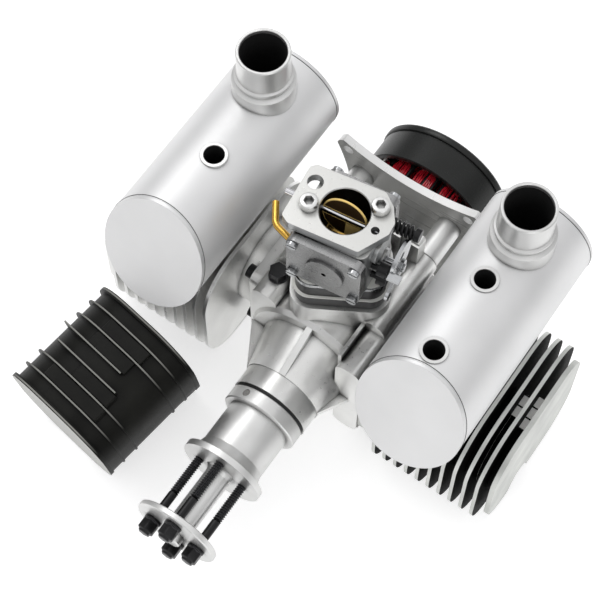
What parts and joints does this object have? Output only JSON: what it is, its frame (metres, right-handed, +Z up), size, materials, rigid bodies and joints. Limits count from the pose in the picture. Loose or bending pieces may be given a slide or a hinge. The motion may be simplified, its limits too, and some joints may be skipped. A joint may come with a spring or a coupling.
{
  "type": "flat twin aircraft engine",
  "caption": "Flat twin two-stroke aircraft engine with a propeller hub, carburettor on top, a silencer over each finned cylinder and a loose black barrel.",
  "frame": {"origin": "centre of the face of the drive flange that the propeller seats on, on the crankshaft's axis", "axes": "+Y along the crankshaft towards the generator, with the propeller at -Y; +X towards the right cylinder; +Z up towards the carburettor and silencer outlets"},
  "size_m": [0.2223, 0.2458, 0.1638],
  "materials": {
    "cast_alloy": "satin",
    "machined_alloy": "turned satin",
    "blasted_alloy": "bead blasted",
    "bright_steel": "machined",
    "black_steel": "black oxide",
    "black_anodised": "black anodised",
    "brass": "satin",
    "seal_rubber": "matt",
    "gasket_paper": "matt",
    "phenolic": "matt",
    "enamel_red": "varnished wire",
    "magnet": "nickel plated",
    "ceramic": "glazed with steel shell",
    "reed_plastic": "moulded"
  },
  "bodies": {
    "engine": {"crankcase": "cast_alloy", "front_housing": "cast_alloy", "rear_cover": "cast_alloy", "crank_bearings": "bright_steel", "crank_seals": "seal_rubber", "right_cylinder": "cast_alloy", "right_head": "cast_alloy", "left_cylinder": "cast_alloy", "left_head": "cast_alloy", "base_gaskets": "gasket_paper", "cylinder_bolts": "black_steel", "spark_plugs": "ceramic", "right_muffler_shell": "blasted_alloy", "left_muffler_shell": "blasted_alloy", "muffler_end_caps": "blasted_alloy", "muffler_outlets": "machined_alloy", "muffler_bolt_tubes": "machined_alloy", "muffler_bolts": "black_steel", "exhaust_saddles": "cast_alloy", "rear_plate": "machined_alloy", "standoff_posts": "machined_alloy", "rear_screws": "bright_steel", "generator_stator": "bright_steel", "generator_windings": "enamel_red", "intake_spacer": "phenolic", "intake_gaskets": "gasket_paper", "intake_insulator": "phenolic", "carb_plate": "machined_alloy", "reed_cage": "reed_plastic", "carb_body": "cast_alloy", "carb_covers": "cast_alloy", "carb_cover_screws": "bright_steel", "carb_mount_screws": "bright_steel", "fuel_nipple": "brass", "mixture_screws": "black_steel", "throttle_spring": "black_steel", "spare_barrel": "black_anodised"},
    "crank": {"crankshaft": "bright_steel", "drive_hub": "machined_alloy", "timing_magnet": "magnet", "prop_washer": "machined_alloy", "prop_bolts": "black_steel", "rotor_drum": "black_anodised", "rotor_magnets": "magnet", "shaft_nut": "bright_steel"},
    "right_piston_set": {"right_piston": "machined_alloy", "right_piston_ring": "bright_steel", "right_wrist_pin": "bright_steel"},
    "left_piston_set": {"left_piston": "machined_alloy", "left_piston_ring": "bright_steel", "left_wrist_pin": "bright_steel"},
    "right_rod_set": {"right_con_rod": "bright_steel", "right_crank_pin": "bright_steel"},
    "left_rod_set": {"left_con_rod": "bright_steel", "left_crank_pin": "bright_steel"},
    "throttle": {"throttle_shaft": "bright_steel", "throttle_plate": "brass", "throttle_lever": "bright_steel"},
    "choke": {"choke_shaft": "bright_steel", "choke_plate": "brass"}
  },
  "joints": [
    {"name": "crank_spin", "type": "hinge", "parent": "engine", "child": "crank", "pos_m": [0, 0.0962, 0], "axis": [0, 1, 0], "continuous": true},
    {"name": "right_piston_slide", "type": "slide", "parent": "engine", "child": "right_piston_set", "axis": [1, 0, 0], "range_m": [-0.026, 0]},
    {"name": "left_piston_slide", "type": "slide", "parent": "engine", "child": "left_piston_set", "axis": [-1, 0, 0], "range_m": [-0.026, 0]},
    {"name": "right_rod_swing", "type": "hinge", "parent": "right_piston_set", "child": "right_rod_set", "pos_m": [0.065, 0.0887, 0], "axis": [0, 1, 0], "range_deg": [-14.48, 14.48]},
    {"name": "left_rod_swing", "type": "hinge", "parent": "left_piston_set", "child": "left_rod_set", "pos_m": [-0.065, 0.1037, 0], "axis": [0, 1, 0], "range_deg": [-14.48, 14.48]},
    {"name": "throttle_turn", "type": "hinge", "parent": "engine", "child": "throttle", "pos_m": [0, 0.0972, 0.0778], "axis": [0.9925, 0.1219, 0], "range_deg": [0, 75]},
    {"name": "choke_turn", "type": "hinge", "parent": "engine", "child": "choke", "pos_m": [0, 0.0972, 0.0993], "axis": [0.9925, 0.1219, 0], "range_deg": [-75, 0]}
  ],
  "couplings": [
    {"joint": "left_piston_slide", "follows": "right_piston_slide", "ratio": 1},
    {"joint": "left_rod_swing", "follows": "right_rod_swing", "ratio": 1}
  ]
}
